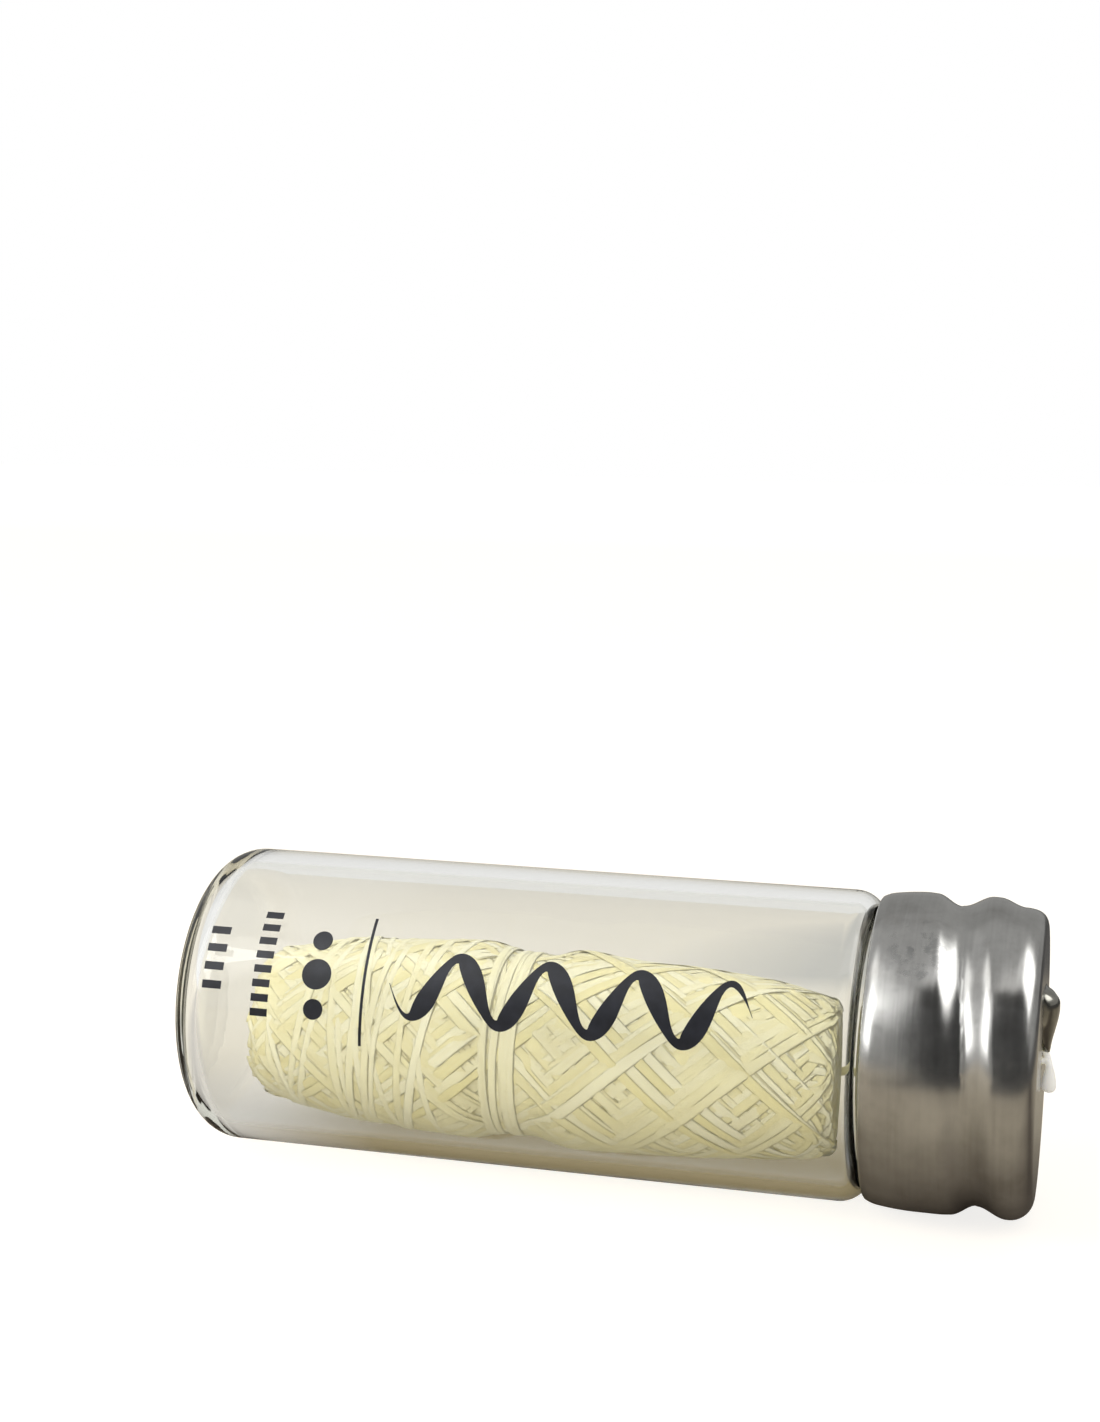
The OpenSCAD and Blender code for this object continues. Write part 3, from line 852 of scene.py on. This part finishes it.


# Strand from the cocoon to the cap's face, in two stretches: its line is in shares of the way to
# the face and of the climb to the vial's axis

STRAND_SHARES = [[0, 0], [0.045, 0], [0.12, 0.06], [0.3, 0.3], [0.5, 0.6], [0.7, 0.86],
                 [0.84, 0.98], [0.92, 1], [1, 1]]
STRAND_W, STRAND_THICK, STRAND_ROOT, STRAND_SPLIT_Z = 0.9, 0.45, 1.5, 71.5


def ribbon(name, line, width, thick, material, tone, swell=1):
    """A flat floss along a line of world points, its section square to the vial's mid plane."""
    line = np.asarray(line)
    way = np.gradient(line, axis=0)
    way /= np.linalg.norm(way, axis=1)[:, None]
    side = np.cross(np.broadcast_to((0, 1, 0), line.shape), way)
    side /= np.linalg.norm(side, axis=1)[:, None]
    up = np.cross(way, side)
    ring = np.radians(np.arange(12) * 30)
    width, thick = [np.broadcast_to(w * swell, len(line))[:, None] for w in (width, thick)]
    points = [line + side * width / 2 * MM * math.cos(a) + up * thick / 2 * MM * math.sin(a)
              for a in ring]
    faces = ring_faces(len(line), len(ring), cap_ends=True)
    obj = outward(new_mesh(name, np.stack(points, 1).reshape(-1, 3), faces))
    set_tone(obj, tone)
    obj.data.materials.append(material)
    return obj


def strand_line():
    """World points from inside the cocoon's end to the cap's face."""
    cocoon_end = COCOON_Z + COCOON_L
    way, climb = spline(STRAND_SHARES, 60).T
    z = cocoon_end + way * (FACE_Z - cocoon_end)
    root = place(np.linspace(cocoon_end - STRAND_ROOT, z[0], 5)[:-1], COCOON_DROP, 0)
    return np.vstack([root, place(z, COCOON_DROP * (1 - climb), 0)])


line = strand_line()
split = np.searchsorted(line[:, 0], BASE_X + STRAND_SPLIT_Z * MM)
for name, part, bodies in (("strand_inner", line[:split + 1], ("cocoon", "vial")),
                           ("strand_outer", line[split:], ("vial", "liner"))):
    piece = ribbon(name, part, STRAND_W, STRAND_THICK, floss, 0.4)
    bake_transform(piece)
    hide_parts("floss_strand")


# Tail: the loop outside the cap, in millimetres out of the face, across it and down from the axis

TAIL = [[-1, 0, 0], [0, 0, 0], [0.3, 0, 0], [0.55, -0.1, 0.15], [0.68, -0.2, 0.55],
        [0.7, -0.22, 1.2], [0.72, -0.2, 1.9], [0.72, -0.1, 2.35], [0.72, 0.05, 2.5],
        [0.72, 0.2, 2.35], [0.72, 0.24, 1.8], [0.72, 0.28, 1], [0.6, 0.28, 0.1],
        [0.4, 0.22, -0.6], [0.08, 0.1, -1.25]]
TAIL_W, TAIL_THICK, TAIL_SWELL, TAIL_DROP = 0.6, 0.5, 1.3, 2.4


def tail_loop():
    out, across, down = spline(TAIL, 90).T
    line = np.stack([BASE_X + (FACE_Z + out) * MM, across * MM, AXIS_Z - down * MM], 1)
    material = floss_material("floss_tail", TAIL_PALE, TAIL_DEEP)
    return ribbon("floss_tail_loop", line, TAIL_W, TAIL_THICK, material, 0.8,
                  swell=1 + TAIL_SWELL * smooth(down / TAIL_DROP))


tail = tail_loop()
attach(tail, "cap")
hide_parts("floss_tail")


# Print on the glass, in plain shapes: a thin upright line, an even wave, two columns of small bars
# and three dots. Places are millimetres from the base and degrees round the vial.

INK_LIFT = 0.02
LINE_Z, LINE_TOP, LINE_FOOT, LINE_W = 20.6, 222, 271, 0.3
WAVE_Z, WAVE_L, WAVE_ANGLE, WAVE_SWING, WAVE_FALL = 23.2, 35.2, 247, 11.5, 1.5
WAVES, WAVE_THIN, WAVE_SWELL, WAVE_TIP = 4, 0.75, 1.15, 0.06
# Each column of bars: middle, half length and width of a bar, first angle, step and number
BAR_COLUMNS = ((5.0, 1.0, 0.8, 232, 7, 4), (10.1, 0.9, 0.75, 224, 5.4, 8))
DOT_Z, DOT_ANGLE, DOT_STEP, DOT_RADII = 15.7, 233, 13.0, (1.0, 1.5, 1.0)


def ink_material():
    mat, tree, bsdf = shader_tree("ink")
    color = ramp(tree, noise(tree, 700, 2.0), [(0.3, (0.008, 0.009, 0.014)),
                                               (0.7, (0.016, 0.018, 0.027))])
    tree.links.new(color, bsdf.inputs["Base Color"])
    bsdf.inputs["Roughness"].default_value = 0.32
    bump(tree, bsdf, noise(tree, 1500, 2.0), 0.15, 0.00005)
    return mat


def stroke(zs, angles, widths):
    """A stroke through places on the glass: its rows of vertices, and its faces."""
    r = VIAL_R + INK_LIFT
    zs, angles, widths = np.broadcast_arrays(zs, angles, widths)
    p = np.stack([zs, angles], 1) * [1, math.radians(1) * r]
    way = np.gradient(p, axis=0)
    way /= np.linalg.norm(way, axis=1)[:, None]
    side = np.stack([-way[:, 1], way[:, 0]], 1)
    rows = [p + side * widths[:, None] * k / 2 for k in (-1, -0.5, 0, 0.5, 1)]
    rows = np.stack(rows, 1).reshape(-1, 2)
    verts = place(rows[:, 0], r, np.degrees(rows[:, 1] / r))
    k, i = np.meshgrid(np.arange(len(p) - 1), np.arange(4), indexing="ij")
    a = (k * 5 + i).ravel()
    return verts, np.stack([a, a + 1, a + 6, a + 5], 1)


def print_strokes():
    strokes = [stroke(LINE_Z, np.linspace(LINE_TOP, LINE_FOOT, 30), LINE_W)]
    t = np.linspace(0, 1, 200)
    turn = t * 2 * np.pi * WAVES
    angles = WAVE_ANGLE + WAVE_SWING * np.sin(turn) + WAVE_FALL * t
    widths = (WAVE_THIN + WAVE_SWELL * np.cos(turn + 0.5) ** 2) * smooth(9 * t)
    widths = widths * smooth(9 * (1 - t)) + WAVE_TIP
    strokes.append(stroke(WAVE_Z + WAVE_L * t, angles, widths))
    for z, half, width, first, step, number in BAR_COLUMNS:
        for k in range(number):
            strokes.append(stroke([z - half, z, z + half], first + step * k, width))
    turn = np.linspace(0, np.pi, 25)
    for k, radius in enumerate(DOT_RADII):
        strokes.append(stroke(DOT_Z - radius * np.cos(turn), DOT_ANGLE + DOT_STEP * k,
                              2 * radius * np.sin(turn) + 0.01))
    return strokes


def ink_print():
    verts, faces = [], []
    for points, quads in print_strokes():
        faces.append(quads + sum(map(len, verts)))
        verts.append(points)
    return outward(new_mesh("ink_print", np.vstack(verts), np.vstack(faces)))


ink = ink_print()
ink.data.materials.append(ink_material())
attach(ink, "vial")


# Floor, from here on in metres

FLOOR_HALF = 4
# The second table colour is painted shade that mirrors see close under the object, and the third a
# painted dark reflection that mirrors see far off on the cap's side.
TABLE, MIRRORED_SHADE_NEAR, MIRRORED_DARK_FAR = (0.46, 0.405, 0.31), (0.14, 0.115, 0.09), (0.09, 0.088, 0.085)
NEAR_FROM, NEAR_TO = 0.003, 0.028
FAR_CENTRE, FAR_FROM, FAR_TO = (0.035, 0, 0), 0.085, 0.105
FAR_X_FROM, FAR_X_TO = -0.02, 0.005
# Painted shadow seen through the glass: dark brown close under the object, paling further off and
# past the base.
THROUGH_SHADOW_STOPS = [(0, (0.32, 0.26, 0.13)), (0.5, (0.52, 0.48, 0.4)), (1, (0.78, 0.77, 0.74))]
THROUGH_SHADOW_FROM, THROUGH_SHADOW_TO, PAST_BASE_FROM, PAST_BASE_TO = 0.005, 0.05, -0.04, -0.024
FLOOR_LIGHT, BOUNCE_SHARE = 0.76, 0.5


def floor_material():
    """White to the camera. Mirrors see a warm table, with painted shade close under the object and
    a painted dark reflection far off on the cap's side. Through the glass it has a painted
    shadow, browner close under the object, and is pale past its base."""
    mat, tree, bsdf = shader_tree("floor")
    bsdf.inputs["Roughness"].default_value = 0.9
    bsdf.inputs["Specular IOR Level"].default_value = 0.1
    path = node(tree, "LightPath").outputs
    spot = node(tree, "SeparateXYZ", {0: object_place(tree)})
    away = maths(tree, "ABSOLUTE", spot.outputs[1])
    # Painted shade: mirrors see the table darker close under the object.
    near = spread(tree, away, 1.0, 0.0, NEAR_FROM, NEAR_TO)
    near = maths(tree, "MULTIPLY", near, path["Is Glossy Ray"])
    color = mix(tree, near, TABLE, MIRRORED_SHADE_NEAR)
    # Painted dark reflection: mirrors see the table darker far off on the cap's side.
    off = vector(tree, "LENGTH", vector(tree, "SUBTRACT", object_place(tree), FAR_CENTRE))
    ring = maths(tree, "MULTIPLY", spread(tree, off, 0.0, 1.0, FAR_FROM, FAR_TO),
                 spread(tree, spot.outputs[0], 0.0, 1.0, FAR_X_FROM, FAR_X_TO))
    ring = maths(tree, "MULTIPLY", ring, path["Is Glossy Ray"])
    tree.links.new(mix(tree, ring, color, MIRRORED_DARK_FAR), bsdf.inputs["Base Color"])
    # Painted shadow of the object on the floor, seen only through the glass.
    far = maths(tree, "MAXIMUM", spread(tree, away, 0.0, 1.0, THROUGH_SHADOW_FROM, THROUGH_SHADOW_TO),
                spread(tree, spot.outputs[0], 1.0, 0.0, PAST_BASE_FROM, PAST_BASE_TO))
    through_shadow = ramp(tree, far, THROUGH_SHADOW_STOPS)
    once = maths(tree, "MINIMUM", path["Diffuse Depth"], 1.0)
    through = maths(tree, "MULTIPLY", path["Is Transmission Ray"],
                    maths(tree, "SUBTRACT", 1.0, once))
    tree.links.new(mix(tree, through, (1, 1, 1), through_shadow), bsdf.inputs["Emission Color"])
    seen = maths(tree, "MAXIMUM", path["Is Camera Ray"], through)
    seen = maths(tree, "MAXIMUM", seen, maths(tree, "MULTIPLY", once, BOUNCE_SHARE))
    tree.links.new(maths(tree, "MULTIPLY", seen, FLOOR_LIGHT), bsdf.inputs["Emission Strength"])
    return mat


def sheet(name, w, h):
    """A flat rectangle of half sizes w and h."""
    return new_mesh(name, [(-w, -h, 0), (w, -h, 0), (w, h, 0), (-w, h, 0)], [(0, 1, 2, 3)])


floor = sheet("floor", FLOOR_HALF, FLOOR_HALF)
floor.data.materials.append(floor_material())


# World, lamps and cards

OBJECT = (0, 0, 0.015)
CAP_EYE = Vector((0.035, 0, AXIS_Z))


def white_world():
    """White to the camera, the glass and mirrors, and a little less bright to all else."""
    world = bpy.data.worlds.new("studio")
    scene.world = world
    world.use_nodes = True
    tree = world.node_tree
    path = node(tree, "LightPath").outputs
    seen = maths(tree, "MAXIMUM", path["Is Camera Ray"], path["Is Glossy Ray"])
    seen = maths(tree, "MAXIMUM", seen, path["Is Transmission Ray"])
    background = tree.nodes["Background"]
    tree.links.new(spread(tree, seen, 0.7, 1.0), background.inputs["Strength"])
    background.inputs["Color"].default_value = (1, 1, 1, 1)


def aimed(centre, aim):
    """The turn that makes a lamp or card at the centre face the aim."""
    return (Vector(aim) - Vector(centre)).to_track_quat("-Z", "Y").to_euler()


def card_material(name, light, reach, edge):
    """Plain light. With an edge it fades out towards the card's own edges."""
    mat, tree, bsdf = shader_tree(name)
    tree.nodes.remove(bsdf)
    shader = node(tree, "Emission", {"Color": (*light, 1)}).outputs[0]
    if edge:
        parts = node(tree, "SeparateXYZ", {0: object_place(tree)})
        fades = []
        for axis in (0, 1):
            far = maths(tree, "ABSOLUTE", parts.outputs[axis])
            fades.append(spread(tree, far, 0.0, 1.0, reach[axis], reach[axis] - edge,
                                "SMOOTHSTEP"))
        clear = node(tree, "BsdfTransparent")
        shader = node(tree, "MixShader", {0: maths(tree, "MULTIPLY", *fades),
                                          1: clear.outputs[0], 2: shader}).outputs[0]
    tree.links.new(shader, tree.nodes["Material Output"].inputs[0])
    return mat


def card(name, centre, size, light, aim, edge=None):
    """A flat card that only mirrors and gloss can see."""
    reach = size[0] / 2, size[1] / 2
    obj = sheet(name, *reach)
    obj.location = centre
    obj.rotation_euler = aimed(centre, aim)
    for ray in ("camera", "diffuse", "transmission", "volume_scatter", "shadow"):
        setattr(obj, "visible_" + ray, False)
    obj.data.materials.append(card_material(name, light, reach, edge))


def softbox(name, centre, size, power):
    """A lamp that lights the object and isn't mirrored in it."""
    lamp = bpy.data.objects.new(name, bpy.data.lights.new(name, "AREA"))
    lamp.data.shape = "RECTANGLE"
    lamp.data.size, lamp.data.size_y = size
    lamp.data.energy = power
    lamp.location = centre
    lamp.rotation_euler = aimed(centre, OBJECT)
    lamp.visible_glossy = False
    scene.collection.objects.link(lamp)


white_world()
softbox("softbox_left", (-0.4, -0.3, 0.3), (0.34, 0.3), 1.7)
softbox("softbox_right", (0.34, -0.36, 0.40), (0.30, 0.34), 0.3)

# Walls of the room: centre, width and height, and light
for name, centre, size, light in (
        ("room", (0, -1.2, 0.6), (3.4, 2.0), (0.31, 0.31, 0.3)),
        ("side_left", (-1.3, 0, 0.6), (3.0, 2.0), (0.5, 0.5, 0.49)),
        ("side_right", (1.3, 0, 0.6), (3.0, 2.0), (0.36, 0.36, 0.35)),
        ("back", (0, 1.3, 0.55), (4.0, 1.9), (0.34, 0.34, 0.33))):
    card(name, centre, size, light, aim=(0, 0, centre[2]))
card("ceiling", (0, -0.1, 1.5), (3.4, 3.0), (0.42, 0.42, 0.41), aim=OBJECT)
card("glow_top", (-0.29, -0.13, 0.5), (0.46, 0.38), (1.7, 1.7, 1.66), aim=OBJECT, edge=0.16)

# What else the cap mirrors: degrees to the right of straight ahead, degrees up, metres away,
# degrees wide and high, light, and soft edge
for name, right, up, far, wide, high, light, edge in (
        ("gap", 31, 20, 0.6, 82, 92, 0.06, 0.06),
        ("gap_low", 62, 0, 0.55, 48, 34, 0.075, 0.06),
        ("glow_left", -47, 29, 0.5, 31, 42, 3.0, 0.05),
        ("fill_left", -34, 44, 0.8, 46, 36, 1.05, 0.14),
        ("fill_right", 60, 68, 0.8, 60, 30, 1.0, 0.12),
        ("glow_right", 97, 44, 0.5, 44, 46, 3.0, 0.08)):
    right, up, wide, high = [math.radians(a) for a in (right, up, wide, high)]
    ahead = Vector((math.sin(right) * math.cos(up), -math.cos(right) * math.cos(up), math.sin(up)))
    card(name, CAP_EYE + far * ahead, (2 * far * math.tan(wide / 2), 2 * far * math.tan(high / 2)),
         (light, light, light * 0.98), aim=CAP_EYE, edge=edge)
